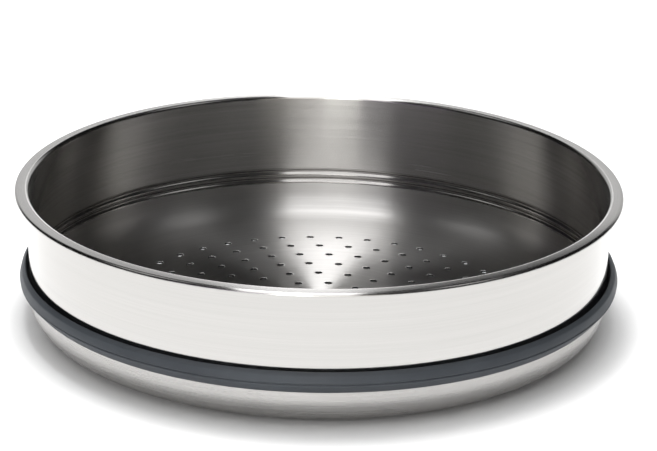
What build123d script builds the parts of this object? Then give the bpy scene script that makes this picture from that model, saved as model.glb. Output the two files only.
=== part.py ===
"""Steamer insert for a 28 cm cooking pot: one deep-drawn stainless steel bowl with a perforated base,
and the grey silicone sealing ring that is stretched over two beads rolled around its wall.

Millimetres. +Z is up. The origin is the centre of the flat ring that the insert stands on.
"""

from build123d import *
from math import asin, cos, degrees, radians, sin
import os

# --- the steel sheet ---------------------------------------------------------------------------
sheet = 0.8  # thickness, the same everywhere
wall_outer_r = 139.5  # slips into a pot with a 280 mm bore
rim_r = 145.5  # outermost edge of the rolled rim
height = 66.6  # standing height, to the top of the rim

# --- the base ------------------------------------------------------------------------------------
dome_r = 101.5  # the middle of the base is domed up to this radius
dome_rise = 2.75  # height of that dome
dome_blend = 5.0  # width of the bend that turns the dome back to the flat standing ring
corner_r = 14.2  # outer radius of the corner between base and wall

# --- the two beads that hold the sealing ring ---------------------------------------------------
bead_bottom_z = 17.7  # lowest point of the lower bead
bead_width = 4.3  # height of one bead, measured up the wall
bead_turns = (52.0, 47.0)  # steepest slope of each bead from the upright, in degrees, lower bead first

# --- the rim ---------------------------------------------------------------------------------------
rim_inner_r = 1.8  # radius of the smooth edge between the inside of the wall and the flat of the rim
rim_curl_r = 1.4  # outer radius of the edge that is curled down
rim_droop = 4.0  # degrees by which the flat of the rim falls away outwards

# --- the perforation -----------------------------------------------------------------------------
hole_d = 3.5
hole_pitch = 14.3  # distance between the rings of holes, and between neighbours in a ring
hole_rings = 7  # ring n has 6 n holes, around one hole in the middle
first_hole_angle = 49.8  # degrees from +X to the line on which every ring has a hole

# --- the sealing ring --------------------------------------------------------------------------------
ring_fit = 0.05  # radial running clearance on the beads
ring_bottom_z = 18.2
ring_foot_r = 140.9  # outer edge of the narrow flat under the ring
ring_waist_z = 23.4  # height of the mould line around the widest part
ring_outer_r = 144.85
mould_line_depth = 0.65
mould_line_half = 0.6  # half the height of the mould line's groove
ring_top_z = 28.3
lip_r = 142.0  # radius at which the sloping face reaches the top of the lip
lip_top_width = 0.7
lip_gap_z = 26.0  # where the gap between the lip and the wall begins
catch_fit = 0.25  # radial clearance on the wall at the bottom of the bore, under the lower bead
catch_slope_z = 19.2  # top of the slope by which the bore widens to pass over the beads
lip_edge_r = 0.3  # rounding of the lip and of the ring's lower edge


def bead_radius(turn):
    """Bend radius of the middle of the sheet in a bead with this steepest slope."""
    return bead_width / (4 * sin(radians(turn)))


def bead_steps(turn):
    radius = bead_radius(turn)
    return [(radius, -turn), (radius, 2 * turn), (radius, -turn)]


def section_side(steps, start, offset):
    """Edges of one face of a bent sheet, as seen in section.

    The sheet's middle line starts at start, heading outwards. Each step is a straight length, or a
    bend given as (radius, degrees), where a positive bend turns upwards and back. offset is the
    distance of the face from the middle line, positive on the left of the heading.
    """
    r, z = start
    heading = 0.0
    edges = []
    for step in steps:
        normal = Vector(-sin(radians(heading)), 0, cos(radians(heading)))
        here = Vector(r, 0, z) + normal * offset
        if isinstance(step, tuple):
            radius, turn = step
            side = 1 if turn > 0 else -1
            centre = Vector(r, 0, z) + normal * (side * radius)
            half = radians(heading + turn / 2)
            last = radians(heading + turn)
            reach = radius - side * offset
            middle = centre + Vector(sin(half), 0, -cos(half)) * (side * reach)
            there = centre + Vector(sin(last), 0, -cos(last)) * (side * reach)
            edges.append(Edge.make_three_point_arc(here, middle, there))
            heading += turn
            end = centre + Vector(sin(last), 0, -cos(last)) * (side * radius)
            r, z = end.X, end.Z
        else:
            r += step * cos(radians(heading))
            z += step * sin(radians(heading))
            there = Vector(r, 0, z) + normal * offset
            edges.append(Edge.make_line(here, there))
    return edges


def sheet_steps():
    """The steel section from the middle of the base to the curled edge of the rim."""
    half = sheet / 2
    wall_r = wall_outer_r - half
    dome_radius = dome_r**2 / (2 * dome_rise)
    dome_slope = degrees(asin(dome_r / dome_radius))
    blend_radius = dome_blend / sin(radians(dome_slope))
    blend_end_r = dome_r + dome_blend
    drop = (dome_radius + blend_radius) * (1 - cos(radians(dome_slope)))
    corner = corner_r - half
    bead_top_z = bead_bottom_z + len(bead_turns) * bead_width
    rim_bend = rim_inner_r - half
    rim_curl = rim_curl_r - half
    lean = sin(radians(rim_droop))
    rim_width = rim_r - half - wall_r
    rim_flat = (rim_width - rim_bend * (1 + lean) - rim_curl * (1 - lean)) / cos(radians(rim_droop))
    steps = [
        (dome_radius, -dome_slope),
        (blend_radius, dome_slope),
        wall_r - corner - blend_end_r,
        (corner, 90),
        bead_bottom_z - half - corner,
        *(step for turn in bead_turns for step in bead_steps(turn)),
        height - half - rim_bend - bead_top_z,
        (rim_bend, -90 - rim_droop),
        rim_flat,
        (rim_curl, rim_droop - 90),
    ]
    return steps, (0, half + drop)


def steamer_insert():
    steps, start = sheet_steps()
    top = section_side(steps, start, sheet / 2)
    under = section_side(steps, start, -sheet / 2)
    edge = Edge.make_line(top[-1] @ 1, under[-1] @ 1)
    axis_line = Edge.make_line(under[0] @ 0, top[0] @ 0)
    section = Face(Wire([axis_line, *top, edge, *under]))
    bowl = Solid.revolve(section, 360, Axis.Z)
    punch_height = 4 * (dome_rise + sheet)
    punch = Solid.make_cylinder(hole_d / 2, punch_height, Plane.XY.offset(-punch_height / 2))
    punches = [punch]
    for ring in range(1, hole_rings + 1):
        count = 6 * ring
        for hole in range(count):
            angle = radians(first_hole_angle + 360 * hole / count)
            place = Location((ring * hole_pitch * cos(angle), ring * hole_pitch * sin(angle), 0))
            punches.append(punch.moved(place))
    return bowl.cut(*punches)


def sealing_ring():
    catch_r = wall_outer_r + catch_fit
    steepest = max(bead_turns)
    bead_height = 2 * bead_radius(steepest) * (1 - cos(radians(steepest)))
    bore_r = wall_outer_r + bead_height + ring_fit
    outline = [
        (catch_r, ring_bottom_z),
        (ring_foot_r, ring_bottom_z),
        (ring_outer_r, ring_waist_z - mould_line_half),
        (ring_outer_r - mould_line_depth, ring_waist_z),
        (ring_outer_r, ring_waist_z + mould_line_half),
        (lip_r, ring_top_z),
        (lip_r - lip_top_width, ring_top_z),
        (bore_r, lip_gap_z),
        (bore_r, catch_slope_z),
    ]
    section = Face(Wire.make_polygon([Vector(r, 0, z) for r, z in outline]))
    corners = [v for v in section.vertices() if v.X > bore_r + 0.1]
    rounded = [v for v in corners if abs(v.Z - ring_waist_z) > mould_line_half + 0.1]
    section = section.fillet_2d(lip_edge_r, rounded)
    return Solid.revolve(section, 360, Axis.Z)


os.makedirs("parts", exist_ok=True)
for name, build in (("steamer_insert", steamer_insert), ("sealing_ring", sealing_ring)):
    export_step(build(), f"parts/{name}.step")
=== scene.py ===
"""The looks of a stainless steel steamer insert with a silicone sealing ring, around its CAD frame.

The object's own sizes are in millimetres, as in its CAD source, and meshes are written in metres.
"""

import math

import bpy
import numpy as np
from mathutils import Matrix, Vector
from mathutils.geometry import delaunay_2d_cdt


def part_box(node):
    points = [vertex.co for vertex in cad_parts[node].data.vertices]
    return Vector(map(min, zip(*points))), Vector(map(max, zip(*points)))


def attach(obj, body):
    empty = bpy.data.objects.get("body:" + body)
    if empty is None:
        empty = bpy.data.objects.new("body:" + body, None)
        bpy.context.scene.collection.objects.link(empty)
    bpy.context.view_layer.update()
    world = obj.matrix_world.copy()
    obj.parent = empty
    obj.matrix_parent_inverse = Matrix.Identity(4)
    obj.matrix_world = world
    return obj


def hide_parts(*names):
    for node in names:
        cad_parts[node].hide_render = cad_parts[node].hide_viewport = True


MM = 0.001
TURN = 2 * math.pi
SEGMENTS = 384  # steps around every turned surface

# --- the steel sheet, as in the CAD source -----------------------------------------------------
SHEET = 0.8
WALL_R = 139.5
DOME_R = 101.5
DOME_RISE = 2.75
DOME_BLEND = 5.0
CORNER_R = 14.2
BEAD_BOTTOM_Z = 17.7
BEAD_WIDTH = 4.3
BEAD_TURNS = (52.0, 47.0)  # of the lower bead and the upper one
RIM_INNER_R = 1.8
RIM_CURL_R = 1.4
RIM_DROOP = 4.0
EDGE_ROUND = 0.2  # the trimmed edge is deburred

# --- the sealing ring, as in the CAD source ------------------------------------------------------
RING_FIT = 0.05  # radial clearance on the beads
CATCH_FIT = 0.25  # radial clearance on the wall under them
RING_FOOT_R = 140.9
RING_WAIST_Z = 23.4
LIP_GAP_Z = 26.0
CATCH_SLOPE_Z = 19.2

# --- how far the soft ring strays from that --------------------------------------------------------
LEFT_DROOP = 1.3  # how far it has slumped on the left
LEFT_PULL = 0.7  # how far it is drawn in there
WAVE_IN = 0.14
WAVE_UP = 0.12

# --- the perforation -----------------------------------------------------------------------------
HOLE_D = 3.5
HOLE_PITCH = 14.3
HOLE_RINGS = 7
FIRST_HOLE_ANGLE = 49.8
HOLE_STEPS = 24
PUNCH_DRAW = ((0.0, 0.12), (0.08, 0.05), (0.2, 0.015), (0.45, 0.0))  # (out from the edge, how deep)
UNDER_DRAW = 0.3  # depth of the draw on the underside, as a part of that on the upper side
HOLE_MARGIN = 1.0  # from the draw to a last circle of points around the hole
BASE_EDGE_R = 108.0  # where the perforated disc meets the turned part of the mesh
BASE_EDGE_RINGS = ((2, 2.2), (3, 3.0))  # inside it: (columns of the turned part per point, step inwards)
BASE_CELL = 3.6  # spacing of the points between the holes
BASE_GAP = BASE_CELL * 0.6  # least distance of those points from all others
BASE_FINISH_TOP = 14.5  # the finish of the base goes up to here, to the top of the corner

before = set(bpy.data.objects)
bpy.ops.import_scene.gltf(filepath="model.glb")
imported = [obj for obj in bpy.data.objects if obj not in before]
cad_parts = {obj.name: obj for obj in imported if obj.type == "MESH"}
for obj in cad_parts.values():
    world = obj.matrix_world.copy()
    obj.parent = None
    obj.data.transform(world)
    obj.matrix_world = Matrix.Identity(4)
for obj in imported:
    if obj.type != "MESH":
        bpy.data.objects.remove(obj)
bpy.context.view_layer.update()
STEEL_LOW, STEEL_HIGH = (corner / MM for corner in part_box("steamer_insert"))
RING_LOW, RING_HIGH = (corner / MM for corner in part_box("sealing_ring"))
RIM_R = STEEL_HIGH.x
HEIGHT = STEEL_HIGH.z


def bead_radius(turn):
    """Bend radius of the middle of the sheet in a bead with this steepest slope."""
    return BEAD_WIDTH / (4 * math.sin(math.radians(turn)))


BEAD_HEIGHT = 2 * bead_radius(BEAD_TURNS[0]) * (1 - math.cos(math.radians(BEAD_TURNS[0])))
BEAD_TOP_Z = BEAD_BOTTOM_Z + len(BEAD_TURNS) * BEAD_WIDTH


# --- meshes ------------------------------------------------------------------------------------------
def bent_sheet(start, steps, arc_step=6.0, line_step=4.0):
    """Points (r, z, heading) along the middle of a bent sheet; a step is a length or (radius, degrees)."""
    r, z, heading = start[0], start[1], 0.0
    points = [(r, z, heading)]
    for step in steps:
        if isinstance(step, tuple):
            radius, turn = step
            side = math.copysign(1, turn)
            centre_r = r - math.sin(math.radians(heading)) * side * radius
            centre_z = z + math.cos(math.radians(heading)) * side * radius
            count = max(2, math.ceil(abs(turn) / arc_step))
            for k in range(1, count + 1):
                now = math.radians(heading + turn * k / count)
                r = centre_r + math.sin(now) * side * radius
                z = centre_z - math.cos(now) * side * radius
                points.append((r, z, math.degrees(now)))
            heading += turn
        else:
            count = max(1, math.ceil(step / line_step))
            for _ in range(count):
                r += step / count * math.cos(math.radians(heading))
                z += step / count * math.sin(math.radians(heading))
                points.append((r, z, heading))
    return points


def face_of(points, offset):
    """One face of the sheet: its points moved square to the sheet, to the left of the heading."""
    moved = []
    for r, z, heading in points:
        turn = math.radians(heading)
        moved.append((r - math.sin(turn) * offset, z + math.cos(turn) * offset))
    return moved


def trimmed_edge(end, steps=8):
    """The deburred edge that ends the sheet, from its left face round to its right face."""
    r, z, heading = end
    turn = math.radians(heading)
    along = (math.cos(turn), math.sin(turn))
    left = (-math.sin(turn), math.cos(turn))
    points = []
    for k in range(1, steps):
        angle = math.pi * k / steps
        across = math.copysign(abs(math.cos(angle)) ** 0.5, math.cos(angle)) * SHEET / 2
        out = math.sin(angle) ** 0.5 * EDGE_ROUND
        points.append((r + left[0] * across + along[0] * out, z + left[1] * across + along[1] * out))
    return points


def turned_faces(rows, columns, first=0):
    """Quads between rows of a turned surface, where each row has that many columns."""
    faces = []
    for i in range(rows - 1):
        for j in range(columns):
            here, there = first + i * columns, first + (i + 1) * columns
            right = (j + 1) % columns
            faces.append((here + j, there + j, there + right, here + right))
    return faces


def turned_points(outline, columns):
    angles = [TURN * j / columns for j in range(columns)]
    return [(r * math.cos(a), r * math.sin(a), z) for r, z in outline for a in angles]


def mesh_object(name, points, faces):
    mesh = bpy.data.meshes.new(name)
    mesh.from_pydata([Vector(p) * MM for p in points], [], faces)
    mesh.validate()
    mesh.shade_smooth()
    piece = bpy.data.objects.new(name, mesh)
    bpy.context.scene.collection.objects.link(piece)
    return piece


def dome_height(r):
    """Height of the middle of the sheet above its lowest part, at radius r of the base."""
    dome_radius = DOME_R**2 / (2 * DOME_RISE)
    slope = math.asin(DOME_R / dome_radius)
    blend_radius = DOME_BLEND / math.sin(slope)
    end_r = DOME_R + DOME_BLEND
    if r >= end_r:
        return 0.0
    if r >= DOME_R:
        return blend_radius - math.sqrt(blend_radius**2 - (end_r - r) ** 2)
    drop = (dome_radius + blend_radius) * (1 - math.cos(slope))
    return drop - dome_radius + math.sqrt(dome_radius**2 - r**2)


def hole_centres():
    centres = [(0.0, 0.0)]
    for ring in range(1, HOLE_RINGS + 1):
        for hole in range(6 * ring):
            angle = math.radians(FIRST_HOLE_ANGLE + 60 * hole / ring)
            centres.append((ring * HOLE_PITCH * math.cos(angle), ring * HOLE_PITCH * math.sin(angle)))
    return centres


def perforated_disc():
    """Flat layout of the base: points (x, y, depth of the draw), triangles, and each hole's edge."""
    points = [(x, y, 0.0) for x, y, z in turned_points([(BASE_EDGE_R, 0)], SEGMENTS)]
    ringed_r = BASE_EDGE_R
    for share, step in BASE_EDGE_RINGS:
        ringed_r -= step
        points += [(x, y, 0.0) for x, y, z in turned_points([(ringed_r, 0)], SEGMENTS // share)]
    draw_r = HOLE_D / 2 + PUNCH_DRAW[-1][0]
    edges = []
    for cx, cy in hole_centres():
        for out, depth in PUNCH_DRAW:
            if out == 0.0:
                edges.append(range(len(points), len(points) + HOLE_STEPS))
            radius = HOLE_D / 2 + out
            for k in range(HOLE_STEPS):
                angle = TURN * (k + (0.5 if out == PUNCH_DRAW[-1][0] else 0.0)) / HOLE_STEPS
                points.append((cx + radius * math.cos(angle), cy + radius * math.sin(angle), depth))
        radius = draw_r + HOLE_MARGIN
        for k in range(HOLE_STEPS // 2):
            angle = TURN * k * 2 / HOLE_STEPS
            points.append((cx + radius * math.cos(angle), cy + radius * math.sin(angle), 0.0))
    centres = np.array(hole_centres())
    clear_r = draw_r + HOLE_MARGIN + BASE_GAP
    rows = int(BASE_EDGE_R / (BASE_CELL * math.sqrt(3) / 2)) + 1
    for i in range(-rows, rows + 1):
        for j in range(-rows, rows + 1):
            x = (j + (i % 2) / 2) * BASE_CELL
            y = i * BASE_CELL * math.sqrt(3) / 2
            if math.hypot(x, y) > ringed_r - BASE_GAP:
                continue
            if np.hypot(centres[:, 0] - x, centres[:, 1] - y).min() > clear_r:
                points.append((x, y, 0.0))
    flat = [Vector((x, y)) for x, y, depth in points]
    borders = [(j, (j + 1) % SEGMENTS) for j in range(SEGMENTS)]
    for edge in edges:
        borders += [(edge[k], edge[(k + 1) % HOLE_STEPS]) for k in range(HOLE_STEPS)]
    found = delaunay_2d_cdt(flat, borders, [], 0, 1e-6, True)
    corners, triangles, origins = found[0], found[2], found[3]
    if len(corners) != len(points):
        raise RuntimeError("the points of the base met each other")
    back = [origin[0] for origin in origins]
    kept = []
    for triangle in triangles:
        a, b, c = (back[k] for k in triangle)
        middle = (flat[a] + flat[b] + flat[c]) / 3
        if np.hypot(centres[:, 0] - middle.x, centres[:, 1] - middle.y).min() < HOLE_D / 2 * 0.98:
            continue  # it lies in a hole
        ahead = (flat[b] - flat[a]).cross(flat[c] - flat[a]) > 0
        kept.append((a, b, c) if ahead else (a, c, b))
    return points, kept, edges


# The finishes of the steel, as material slots; the slot for the walls of the holes holds painted shade.
INSIDE, POLISHED, BASE, LOWER, PAINTED_SHADE_HOLES, ROLLED, RIM = range(7)


def insert_outline():
    """The middle of the sheet from the edge of the perforated disc to the trimmed edge of the rim."""
    half = SHEET / 2
    wall_r = WALL_R - half
    corner = CORNER_R - half
    beads = []
    for turn in BEAD_TURNS:
        radius = bead_radius(turn)
        beads += [(radius, -turn), (radius, 2 * turn), (radius, -turn)]
    rim_bend = RIM_INNER_R - half
    rim_curl = RIM_CURL_R - half
    rim_width = RIM_R - half - wall_r
    lean = math.sin(math.radians(RIM_DROOP))
    rim_flat = rim_width - rim_bend * (1 + lean) - rim_curl * (1 - lean)
    steps = [
        wall_r - corner - BASE_EDGE_R,
        (corner, 90),
        BEAD_BOTTOM_Z - half - corner,
        *beads,
        HEIGHT - half - rim_bend - BEAD_TOP_Z,
        (rim_bend, -90 - RIM_DROOP),
        rim_flat / math.cos(math.radians(RIM_DROOP)),
        (rim_curl, RIM_DROOP - 90),
    ]
    return bent_sheet((BASE_EDGE_R, half), steps)


def steamer_insert():
    half = SHEET / 2
    middle = insert_outline()
    inside = face_of(middle, half)
    outside = face_of(middle, -half)[::-1]
    outline = inside + trimmed_edge(middle[-1]) + outside
    disc, triangles, edges = perforated_disc()
    points = turned_points(outline, SEGMENTS)
    faces = turned_faces(len(outline), SEGMENTS)
    inside_rows = sum(z < HEIGHT - RIM_INNER_R for r, z in inside)
    base_rows = sum(z < BASE_FINISH_TOP for r, z in inside)
    bead_low_row = sum(z < BEAD_BOTTOM_Z for r, z in inside)
    bead_high_row = sum(z < BEAD_TOP_Z for r, z in inside)
    rim_end = len(inside)
    lower_rows = sum(z < RING_LOW.z for r, z in outside)
    polished_end = len(outline) - 1 - lower_rows
    regions = []
    for row in range(len(outline) - 1):
        if bead_low_row <= row < bead_high_row:
            region = ROLLED
        elif row < base_rows:
            region = BASE
        elif row < inside_rows:
            region = INSIDE
        elif row < rim_end:
            region = RIM
        else:
            region = POLISHED if row < polished_end else LOWER
        regions += [region] * SEGMENTS
    top_first = len(points)
    last_row = (len(outline) - 1) * SEGMENTS
    top, under = [], []
    for k, (x, y, depth) in enumerate(disc):
        if k < SEGMENTS:
            top.append(k)
            under.append(last_row + k)
            continue
        z = half + dome_height(math.hypot(x, y))
        top.append(top_first + 2 * (k - SEGMENTS))
        under.append(top_first + 2 * (k - SEGMENTS) + 1)
        points.append((x, y, z + half - depth))
        points.append((x, y, z - half - depth * UNDER_DRAW))
    for a, b, c in triangles:
        faces.append((top[a], top[b], top[c]))
        faces.append((under[a], under[c], under[b]))
        regions += [BASE, LOWER]
    # The walls of the holes, coloured near black: painted shade for the shade inside the holes.
    for edge in edges:
        for k in range(HOLE_STEPS):
            a, b = edge[k], edge[(k + 1) % HOLE_STEPS]
            faces.append((top[a], top[b], under[b], under[a]))
            regions.append(PAINTED_SHADE_HOLES)
    piece = mesh_object("steamer_insert_sheet", points, faces)
    for name in ("brushed_inside", "polished_outside", "brushed_base", "satin_lower",
                 "holes_painted_shade", "rolled_bead", "satin_rim"):
        piece.data.materials.append(steel(name))
    piece.data.polygons.foreach_set("material_index", regions)
    return piece


def rounded_outline(corners):
    """A closed outline through corners (r, z, radius), with each corner rounded by an arc."""
    outline = []
    count = len(corners)
    for k, (r, z, radius) in enumerate(corners):
        here = Vector((r, z))
        before = (Vector(corners[k - 1][:2]) - here).normalized()
        after = (Vector(corners[(k + 1) % count][:2]) - here).normalized()
        if radius == 0:
            outline.append((r, z))
            continue
        half = before.angle(after) / 2
        reach = radius / math.tan(half)
        centre = here + (before + after).normalized() * radius / math.sin(half)
        first = here + before * reach - centre
        sweep = first.angle_signed(here + after * reach - centre)
        steps = max(2, math.ceil(abs(math.degrees(sweep)) / 15))
        for j in range(steps + 1):
            turned = Matrix.Rotation(-sweep * j / steps, 2) @ first
            outline.append(tuple(centre + turned))
    return outline


def waviness(angle):
    """How far the soft ring strays from a true circle at this angle, from -1 to 1."""
    return 0.45 * math.sin(3 * angle + 0.6) + 0.3 * math.sin(7 * angle + 2.0) + 0.25 * math.sin(13 * angle)


def leftward(angle):
    """1 on the left of the ring, where it has settled a little, fading to 0 within a sixth of a turn."""
    return max(0.0, -math.cos(angle)) ** 6


def sealing_ring():
    bore_r = WALL_R + BEAD_HEIGHT + RING_FIT
    low, high, outer = RING_LOW.z, RING_HIGH.z, RING_HIGH.x
    waist = RING_WAIST_Z
    corners = [  # (r, z, rounding)
        (WALL_R + CATCH_FIT, low, 0.05),
        (RING_FOOT_R, low, 0.5),
        (outer - 0.15, waist - 0.75, 0.35),  # the mould line, with its two sides
        (outer - 0.75, waist, 0.12),
        (outer, waist + 0.5, 0.3),
        (143.6, high - 1.2, 1.5),  # the shoulder
        (141.8, high, 0.4),  # the lip's outer and inner edge
        (141.2, high - 0.05, 0.25),
        (bore_r, LIP_GAP_Z, 0.2),
        (bore_r, CATCH_SLOPE_Z, 0.3),
    ]
    outline = rounded_outline(corners)
    points = []
    for r, z in outline:
        share = max(0.0, (r - bore_r) / (outer - bore_r))
        for j in range(SEGMENTS):
            angle = TURN * j / SEGMENTS
            stray = WAVE_IN * share * (waviness(angle) - 1) - LEFT_PULL * share * leftward(angle)
            lift = WAVE_UP * share * waviness(angle + 2.2) - LEFT_DROOP * share * leftward(angle)
            points.append(((r + stray) * math.cos(angle), (r + stray) * math.sin(angle), z + lift))
    faces = turned_faces(len(outline) + 1, SEGMENTS)
    total = len(outline) * SEGMENTS
    faces = [tuple(v % total for v in face) for face in faces]
    piece = mesh_object("sealing_ring_moulded", points, faces)
    piece.data.materials.append(silicone())
    return piece


# --- materials ---------------------------------------------------------------------------------------
# Each finish: colour, roughness, anisotropy, strength of the lines, and unevenness of the roughness.
STEEL_FINISHES = {
    "brushed_inside": ((0.58, 0.57, 0.555, 1.0), 0.23, 1.0, 0.025, 0.01),
    "polished_outside": ((0.54, 0.53, 0.515, 1.0), 0.1, 0.35, 0.12, 0.03),
    "brushed_base": ((0.58, 0.57, 0.56, 1.0), 0.38, 1.0, 0.02, 0.01),
    "satin_lower": ((0.47, 0.46, 0.45, 1.0), 0.28, 0.5, 0.1, 0.04),
    # The walls of the holes are painted near black. This is painted shade for the shade inside the holes,
    # not the colour of cut steel.
    "holes_painted_shade": ((0.05, 0.05, 0.05, 1.0), 0.45, 0.0, 0.1, 0.05),
    "rolled_bead": ((0.39, 0.38, 0.37, 1.0), 0.17, 0.9, 0.05, 0.01),
    "satin_rim": ((0.54, 0.53, 0.52, 1.0), 0.2, 0.9, 0.04, 0.01),
}
FINE_LINES = (1.5, 2600.0)  # how quickly they change around the axis, and across the lines, per metre
BROAD_LINES = (0.6, 650.0)
LINE_SHADE = 0.9  # colour in the darkest lines, as a part of the colour between them
LINE_HEIGHT = 0.00002
SILICONE_DARK = (0.038, 0.044, 0.053, 1.0)
SILICONE_LIGHT = (0.05, 0.058, 0.068, 1.0)
SILICONE_GRAIN = 0.00005  # height of its grain


class Nodes:
    """A short way to write a node tree."""

    def __init__(self, owner):
        owner.use_nodes = True
        self.tree = owner.node_tree
        self.tree.nodes.clear()

    def add(self, kind, *inputs, **settings):
        made = self.tree.nodes.new(kind)
        for key, value in settings.items():
            setattr(made, key, value)
        for k, value in enumerate(inputs):
            self.put(value, made.inputs[k])
        return made

    def put(self, value, socket):
        if isinstance(value, bpy.types.NodeSocket):
            self.tree.links.new(value, socket)
        else:
            socket.default_value = value

    def math(self, operation, *inputs):
        return self.add("ShaderNodeMath", *inputs, operation=operation).outputs[0]

    def mix(self, factor, a, b):
        made = self.add("ShaderNodeMix", data_type="RGBA")
        self.put(factor, made.inputs[0])
        self.put(a, made.inputs[6])
        self.put(b, made.inputs[7])
        return made.outputs[2]

    def noise(self, vector, scale, detail, roughness):
        made = self.add("ShaderNodeTexNoise")
        self.put(vector, made.inputs["Vector"])
        self.put(scale, made.inputs["Scale"])
        self.put(detail, made.inputs["Detail"])
        self.put(roughness, made.inputs["Roughness"])
        return made.outputs["Fac"]

    def spread(self, value, low, high, to_low, to_high):
        made = self.add("ShaderNodeMapRange", value, low, high, to_low, to_high)
        return made.outputs[0]

    def product(self, first, *others):
        for other in others:
            first = self.math("MULTIPLY", first, other)
        return first


def turned_coordinates(nodes, around, across):
    """A vector that changes slowly around the axis and quickly across the lines left by turning."""
    place = nodes.add("ShaderNodeTexCoord").outputs["Object"]
    x, y, z = nodes.add("ShaderNodeSeparateXYZ", place).outputs
    r = nodes.math("SQRT", nodes.math("ADD", nodes.math("MULTIPLY", x, x), nodes.math("MULTIPLY", y, y)))
    safe_r = nodes.math("MAXIMUM", r, 1e-5)
    u = nodes.math("MULTIPLY", nodes.math("DIVIDE", x, safe_r), around)
    v = nodes.math("MULTIPLY", nodes.math("DIVIDE", y, safe_r), around)
    w = nodes.math("MULTIPLY", nodes.math("ADD", r, z), across)
    return nodes.add("ShaderNodeCombineXYZ", u, v, w).outputs[0]


def steel(finish):
    """Steel with one of the finishes, and with the fine lines left by turning or brushing it."""
    colour, roughness, anisotropy, line_depth, cloud = STEEL_FINISHES[finish]
    material = bpy.data.materials.new(f"steel_{finish}")
    nodes = Nodes(material)
    fine = nodes.noise(turned_coordinates(nodes, *FINE_LINES), 1.0, 3.0, 0.6)
    broad = nodes.noise(turned_coordinates(nodes, *BROAD_LINES), 1.0, 2.0, 0.5)
    place = nodes.add("ShaderNodeTexCoord").outputs["Object"]
    patches = nodes.noise(place, 22.0, 4.0, 0.55)
    lines = nodes.math("ADD", nodes.math("MULTIPLY", fine, 0.65), nodes.math("MULTIPLY", broad, 0.35))
    rough = nodes.math("ADD", nodes.spread(lines, 0.3, 0.7, roughness * 0.8, roughness * 1.2),
                       nodes.spread(patches, 0.35, 0.7, -cloud, cloud))
    dull = tuple(c * LINE_SHADE for c in colour[:3]) + (1.0,)
    tint = nodes.mix(nodes.spread(lines, 0.3, 0.7, 0.0, 1.0), colour, dull)
    bump = nodes.add("ShaderNodeBump")
    nodes.put(line_depth, bump.inputs["Strength"])
    nodes.put(LINE_HEIGHT, bump.inputs["Distance"])
    nodes.put(lines, bump.inputs["Height"])
    tangent = nodes.add("ShaderNodeTangent", direction_type="RADIAL", axis="Z")
    shader = nodes.add("ShaderNodeBsdfPrincipled")
    nodes.put(tint, shader.inputs["Base Color"])
    nodes.put(1.0, shader.inputs["Metallic"])
    nodes.put(rough, shader.inputs["Roughness"])
    nodes.put(anisotropy, shader.inputs["Anisotropic"])
    nodes.put(0.25, shader.inputs["Anisotropic Rotation"])
    nodes.put(tangent.outputs[0], shader.inputs["Tangent"])
    nodes.put(bump.outputs[0], shader.inputs["Normal"])
    nodes.add("ShaderNodeOutputMaterial", shader.outputs[0])
    return material


def silicone():
    material = bpy.data.materials.new("silicone_grey")
    nodes = Nodes(material)
    place = nodes.add("ShaderNodeTexCoord").outputs["Object"]
    mottle = nodes.noise(place, 60.0, 4.0, 0.6)
    grain = nodes.noise(place, 2400.0, 2.0, 0.5)
    colour = nodes.mix(nodes.spread(mottle, 0.3, 0.7, 0.0, 1.0), SILICONE_DARK, SILICONE_LIGHT)
    bump = nodes.add("ShaderNodeBump")
    nodes.put(0.3, bump.inputs["Strength"])
    nodes.put(SILICONE_GRAIN, bump.inputs["Distance"])
    nodes.put(grain, bump.inputs["Height"])
    shader = nodes.add("ShaderNodeBsdfPrincipled")
    nodes.put(colour, shader.inputs["Base Color"])
    nodes.put(nodes.spread(mottle, 0.3, 0.7, 0.46, 0.58), shader.inputs["Roughness"])
    nodes.put(bump.outputs[0], shader.inputs["Normal"])
    nodes.add("ShaderNodeOutputMaterial", shader.outputs[0])
    return material


# --- studio --------------------------------------------------------------------------------------------
# What the steel mirrors. The brightness of what stands around the table, by its azimuth in degrees
# from straight ahead of the object's front, positive to the right.
AROUND = (
    (-180, (2.1, 2.1, 2.1)),
    (-178, (2.1, 2.1, 2.1)),
    (-176.5, (0.8, 0.8, 0.8)),
    (-150, (0.6, 0.6, 0.6)),
    (-140, (0.01, 0.01, 0.01)),
    (-80, (0.01, 0.01, 0.01)),
    (-56, (0.03, 0.03, 0.03)),
    (-52, (0.32, 0.27, 0.34)),
    (-40, (0.4, 0.34, 0.44)),
    (-20, (1.0, 0.9, 1.05)),
    (-17, (1.6, 1.5, 1.6)),
    (-14, (8.6, 8.5, 8.2)),
    (-3, (8.6, 8.5, 8.2)),
    (-1, (3.0, 2.92, 2.75)),
    (10, (2.4, 2.28, 2.1)),
    (17, (1.5, 1.42, 1.28)),
    (24, (0.8, 0.76, 0.68)),
    (27, (0.06, 0.06, 0.06)),
    (52, (0.08, 0.08, 0.075)),
    (58, (0.02, 0.02, 0.02)),
    (89, (0.01, 0.01, 0.01)),
    (140, (0.01, 0.01, 0.01)),
    (150, (0.6, 0.6, 0.6)),
    (177.5, (0.8, 0.8, 0.8)),
    (178.5, (2.1, 2.1, 2.1)),
    (180, (2.1, 2.1, 2.1)),
)

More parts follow.
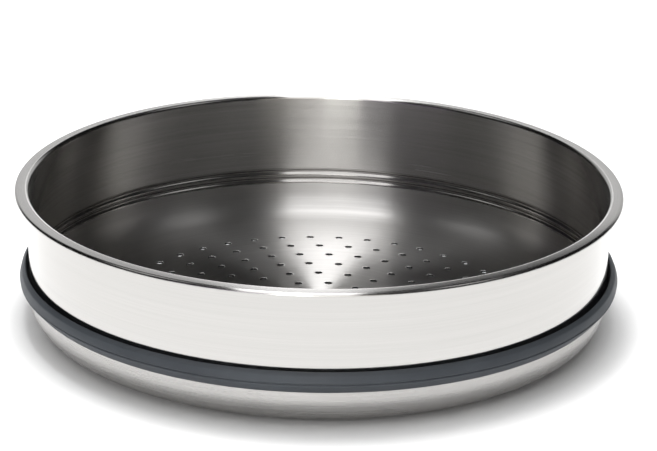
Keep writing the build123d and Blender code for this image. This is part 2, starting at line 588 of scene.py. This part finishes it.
# Below, places are parts x, y or z of a unit direction. A pair says where a change starts and ends.
DARK = (0.01, 0.01, 0.01, 1.0)
AROUND_TOP = (0.5, 0.6)  # height at which what stands around ends
FRONT_FADE = 0.5  # how far what stands in front fades out upwards
FRONT_FADE_HEIGHT = (0.0, 0.2)
FRONT_EDGE = (-0.3, -0.1)  # what stands in front of this ends lower
FRONT_TOP = (0.26, 0.36)
BACK_EDGE = (0.5, 0.55)  # behind this and right of the middle, the pale wall ends at BACK_RIGHT_TOP
BACK_MIDDLE = (0.018, 0.03)
BACK_RIGHT_TOP = (0.39, 0.41)
CEILING = (0.08, 0.08, 0.08, 1.0)
CEILING_LOW = (0.68, 0.74)
SIDE_LIGHT = (0.9, 0.9, 0.9, 1.0)  # one on the left and one on the right, high up
SIDE_LIGHT_NEAR = (0.4, 0.46)
SIDE_LIGHT_HALF = (0.14, 0.18)  # half of its width
SIDE_SLANT = 0.18  # how far the pair of them is turned about the vertical
SKYLIGHT = (3.6, 3.6, 3.6, 1.0)
SKYLIGHT_APEX = 1.1
SKYLIGHT_LEFT = (-0.245, -0.225)  # its sides slope apart towards the front, as x over (SKYLIGHT_APEX - y)
SKYLIGHT_RIGHT = (0.11, 0.13)
SKYLIGHT_VALANCE = 0.5  # share of its brightness on the part that hangs down in front
SKYLIGHT_FRONT = (-0.4, -0.1)
SKYLIGHT_BACK = (0.67, 0.73)
SKYLIGHT_LOW = (0.3, 0.35)


def panorama(nodes, place, around):
    ramp = nodes.add("ShaderNodeValToRGB", place)
    stops = ramp.color_ramp.elements
    stops.remove(stops[1])
    for k, (degrees, colour) in enumerate(around):
        at = degrees / 360 + 0.5
        stop = stops[0] if k == 0 else stops.new(at)
        stop.position = at
        stop.color = (*colour, 1.0)
    return ramp.outputs[0]


def skylight(nodes, x, y, z):
    """1 towards the large soft light overhead, which widens towards the front, and 0 elsewhere."""
    across = nodes.math("DIVIDE", x, nodes.math("SUBTRACT", SKYLIGHT_APEX, y))
    left = nodes.spread(across, *SKYLIGHT_LEFT, 0.0, 1.0)
    right = nodes.spread(across, *SKYLIGHT_RIGHT, 1.0, 0.0)
    front = nodes.spread(y, *SKYLIGHT_FRONT, SKYLIGHT_VALANCE, 1.0)
    back = nodes.spread(y, *SKYLIGHT_BACK, 1.0, 0.0)
    above = nodes.spread(z, *SKYLIGHT_LOW, 0.0, 1.0)
    return nodes.product(left, right, front, back, above)


def surroundings():
    world = bpy.data.worlds.new("studio")
    bpy.context.scene.world = world
    world.cycles_visibility.diffuse = False  # it is only mirrored; the softboxes light everything
    nodes = Nodes(world)
    direction = nodes.add("ShaderNodeTexCoord").outputs["Generated"]
    x, y, z = nodes.add("ShaderNodeSeparateXYZ", direction).outputs
    azimuth = nodes.math("ARCTAN2", x, nodes.math("MULTIPLY", y, -1.0))
    place = nodes.math("ADD", nodes.math("DIVIDE", azimuth, TURN), 0.5)
    seen = panorama(nodes, place, AROUND)
    front_height = nodes.product(y, -1.0, z)
    seen = nodes.mix(nodes.spread(front_height, *FRONT_FADE_HEIGHT, 0.0, FRONT_FADE), seen, DARK)
    seen = nodes.mix(nodes.spread(z, *AROUND_TOP, 0.0, 1.0), seen, DARK)
    in_front = nodes.product(nodes.spread(y, *FRONT_EDGE, 1.0, 0.0), nodes.spread(z, *FRONT_TOP, 0.0, 1.0))
    seen = nodes.mix(in_front, seen, DARK)
    high_up = nodes.spread(z, *CEILING_LOW, 0.0, 1.0)
    seen = nodes.mix(high_up, seen, CEILING)
    far_out = nodes.spread(nodes.math("ABSOLUTE", x), *SIDE_LIGHT_NEAR, 0.0, 1.0)
    across = nodes.math("ABSOLUTE", nodes.math("ADD", y, nodes.math("MULTIPLY", x, SIDE_SLANT)))
    beside = nodes.product(far_out, nodes.spread(across, *SIDE_LIGHT_HALF, 1.0, 0.0), high_up)
    seen = nodes.mix(beside, seen, SIDE_LIGHT)
    behind = nodes.product(nodes.spread(y, *BACK_EDGE, 0.0, 1.0), nodes.spread(x, *BACK_MIDDLE, 0.0, 1.0))
    above_wall = nodes.product(behind, nodes.spread(z, *BACK_RIGHT_TOP, 0.0, 1.0))
    seen = nodes.mix(above_wall, seen, DARK)
    seen = nodes.mix(skylight(nodes, x, y, z), seen, SKYLIGHT)
    background = nodes.add("ShaderNodeBackground", seen, 1.0)
    nodes.add("ShaderNodeOutputWorld", background.outputs[0])


def softbox(name, place, size, power):
    """A rectangular light that faces the origin and is neither seen nor mirrored."""
    light = bpy.data.lights.new(name, "AREA")
    light.shape = "RECTANGLE"
    light.size, light.size_y = size
    light.energy = power
    lamp = bpy.data.objects.new(name, light)
    lamp.location = place
    lamp.rotation_euler = Vector(place).to_track_quat("Z", "Y").to_euler()
    lamp.visible_camera = False
    lamp.visible_glossy = False
    bpy.context.scene.collection.objects.link(lamp)


def pale_floor():
    half, z = 6.0, -0.0001  # just clear of the part, so that their faces don't coincide
    mesh = bpy.data.meshes.new("floor")
    corners = [(-half, -half, z), (half, -half, z), (half, half, z), (-half, half, z)]
    mesh.from_pydata(corners, [], [(0, 1, 2, 3)])
    floor = bpy.data.objects.new("floor", mesh)
    bpy.context.scene.collection.objects.link(floor)
    material = bpy.data.materials.new("floor_white")
    nodes = Nodes(material)
    shader = nodes.add("ShaderNodeBsdfDiffuse", (0.9, 0.9, 0.9, 1.0))
    nodes.add("ShaderNodeOutputMaterial", shader.outputs[0])
    mesh.materials.append(material)


def camera():
    data = bpy.data.cameras.new("camera")
    data.sensor_width = 36.0
    data.lens = 139.7
    elevation = math.radians(20.12)
    roll = math.radians(1.008)
    aim = Vector((4.7, -7.0, 46.8)) * MM
    distance = 1223.7 * MM
    back = Vector((0, -math.cos(elevation), math.sin(elevation)))
    body = bpy.data.objects.new("camera", data)
    body.location = aim + back * distance
    turn = (-back).to_track_quat("-Z", "Y").to_matrix()
    body.rotation_euler = (turn @ Matrix.Rotation(roll, 3, "Z")).to_euler()
    bpy.context.scene.collection.objects.link(body)
    bpy.context.scene.camera = body


def softboxes():
    softbox("key", (-0.08, 0.15, 1.8), (0.6, 0.6), 26)
    softbox("fill", (0, 0, 2.5), (3.0, 3.0), 74)
    distance, height = 2.2, 0.7
    for side, power in enumerate((6, 14, 14, 6)):  # back right, back left, front left, front right
        angle = TURN * (side + 0.5) / 4
        place = (distance * math.cos(angle), distance * math.sin(angle), height)
        softbox(f"bounce_{side}", place, (2.4, 1.2), power)


camera()
surroundings()
pale_floor()
softboxes()
bpy.context.scene.view_settings.view_transform = "Standard"

bowl = steamer_insert()
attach(bowl, "insert")
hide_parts("steamer_insert")

ring = sealing_ring()
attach(ring, "ring")
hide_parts("sealing_ring")
